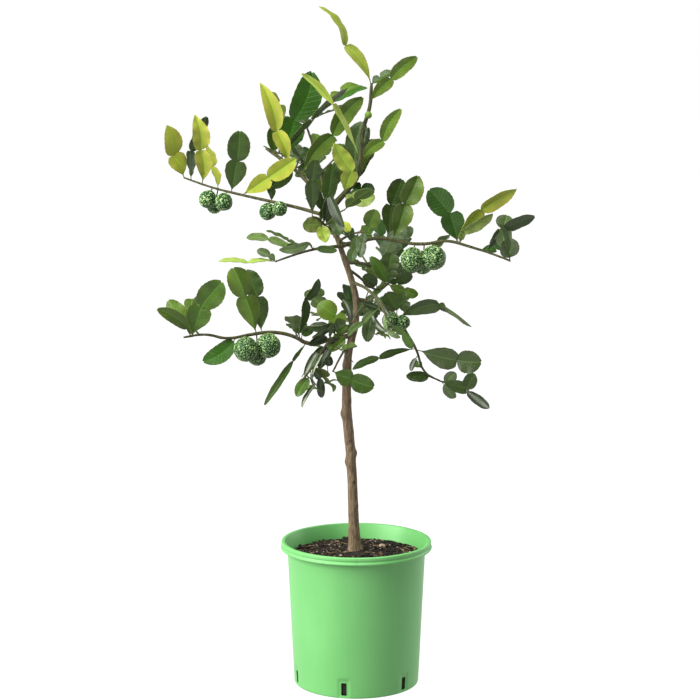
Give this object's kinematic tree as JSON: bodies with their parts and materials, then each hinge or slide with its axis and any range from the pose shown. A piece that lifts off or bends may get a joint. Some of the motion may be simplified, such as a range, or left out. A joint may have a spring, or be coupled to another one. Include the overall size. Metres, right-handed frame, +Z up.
{
  "type": "potted makrut lime tree",
  "caption": "Young citrus tree with a slim leaning trunk, double-bladed leaves and bumpy round fruits, standing in a round plastic nursery pot with a rolled lip.",
  "frame": {"origin": "centre of the pot's flat underside", "axes": "+Z up along the tree's height, +X to the right and +Y away from the viewer in the front view"},
  "size_m": [0.5308, 0.3591, 0.9787],
  "materials": {
    "pot_plastic": "semi-gloss",
    "potting_mix": "matte",
    "bark": "matte",
    "young_bark": "satin",
    "foliage": "satin"
  },
  "bodies": {
    "root": {"pot": "pot_plastic", "soil": "potting_mix", "trunk": "bark", "bough_leader": "young_bark", "bough_upper_left": "young_bark", "bough_left_high": "young_bark", "bough_left_mid": "young_bark", "bough_right_high": "young_bark", "bough_left_low": "young_bark", "bough_right_low": "young_bark", "bough_right_mid": "young_bark", "bough_fork_left": "young_bark", "bough_fork_right": "young_bark", "bough_front_left": "young_bark", "bough_front_low": "young_bark", "bough_front_right": "young_bark", "bough_back_high": "young_bark", "bough_back_top": "young_bark", "bough_back_right": "young_bark", "bough_back_left": "young_bark", "foliage_leader": "foliage", "foliage_upper_left": "foliage", "foliage_left_high": "foliage", "foliage_left_mid": "foliage", "foliage_right_high": "foliage", "foliage_left_low": "foliage", "foliage_right_low": "foliage", "foliage_right_mid": "foliage", "foliage_fork_left": "foliage", "foliage_fork_right": "foliage", "foliage_front_left": "foliage", "foliage_front_low": "foliage", "foliage_front_right": "foliage", "foliage_back_high": "foliage", "foliage_back_top": "foliage", "foliage_back_right": "foliage", "foliage_back_left": "foliage"}
  },
  "joints": []
}
